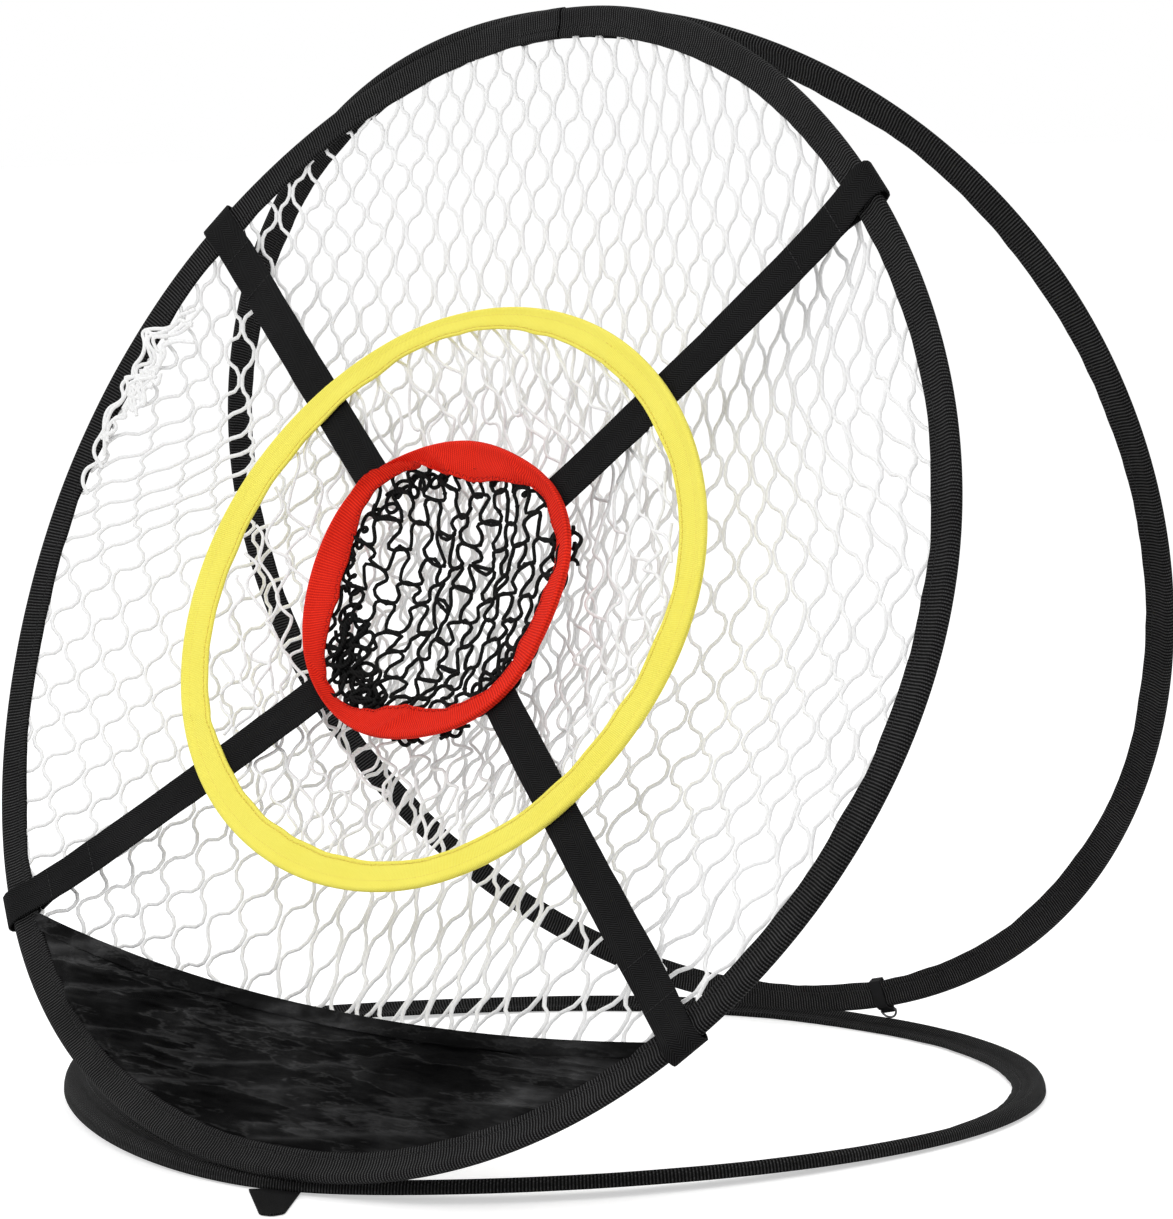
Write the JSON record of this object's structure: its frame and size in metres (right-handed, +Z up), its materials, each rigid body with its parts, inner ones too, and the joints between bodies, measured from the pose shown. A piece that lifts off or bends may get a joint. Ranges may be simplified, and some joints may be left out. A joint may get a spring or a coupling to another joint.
{
  "type": "golf chipping net",
  "caption": "Pop-up golf chipping net: leaning target hoop with net bag and yellow and red target rings, on prop and base hoops.",
  "frame": {"origin": "on the floor under the front hinge, where the target hoop meets the base hoop", "axes": "+Z up; the target faces -Y and leans back towards +Y; +X to the right of someone facing it"},
  "size_m": [0.6422, 0.5223, 0.5581],
  "materials": {
    "spring_wire": "satin",
    "ferrule": "satin",
    "black_webbing": "ribbed webbing, matt",
    "black_tape": "matt",
    "black_cloth": "satin",
    "white_net": "matt cord",
    "black_net": "matt cord",
    "yellow_webbing": "fine ribbed, matt",
    "red_webbing": "ribbed, matt",
    "clip_wire": "satin"
  },
  "bodies": {
    "base": {"base_wire": "spring_wire", "base_ferrule": "ferrule", "base_sleeve": "black_webbing", "stake_tab": "black_webbing", "front_hinge_base_leaf": "black_tape"},
    "target": {"front_hinge_target_leaf": "black_tape", "target_wire": "spring_wire", "target_ferrule": "ferrule", "target_sleeve": "black_webbing", "catch_panel": "black_cloth", "target_net": "white_net", "strap_upper_right": "black_webbing", "strap_upper_left": "black_webbing", "strap_lower_left": "black_webbing", "strap_lower_right": "black_webbing", "middle_ring_wire": "spring_wire", "middle_ring_sleeve": "yellow_webbing", "middle_pocket_net": "white_net", "centre_ring_wire": "spring_wire", "centre_ring_sleeve": "red_webbing", "centre_pocket_net": "black_net", "top_hinge_target_leaf": "black_tape"},
    "rear": {"top_hinge_rear_leaf": "black_tape", "rear_wire": "spring_wire", "rear_ferrule": "ferrule", "rear_sleeve": "black_webbing", "clip_tab": "black_webbing"},
    "clip": {"clip_ring": "clip_wire"}
  },
  "joints": [
    {"name": "front_hinge", "type": "hinge", "parent": "base", "child": "target", "pos_m": [0, 0, 0.0102], "axis": [1, 0, 0], "range_deg": [0, 110]},
    {"name": "top_hinge", "type": "hinge", "parent": "target", "child": "rear", "pos_m": [-0.03, 0.26875, 0.55482], "axis": [-0.969, -0.1064, -0.2231], "range_deg": [0, 42]},
    {"name": "clip_swing", "type": "hinge", "parent": "rear", "child": "clip", "pos_m": [-0.00212, 0.47333, 0.01157], "axis": [0.971, 0.111, 0.2117], "range_deg": [-60, 60]}
  ]
}
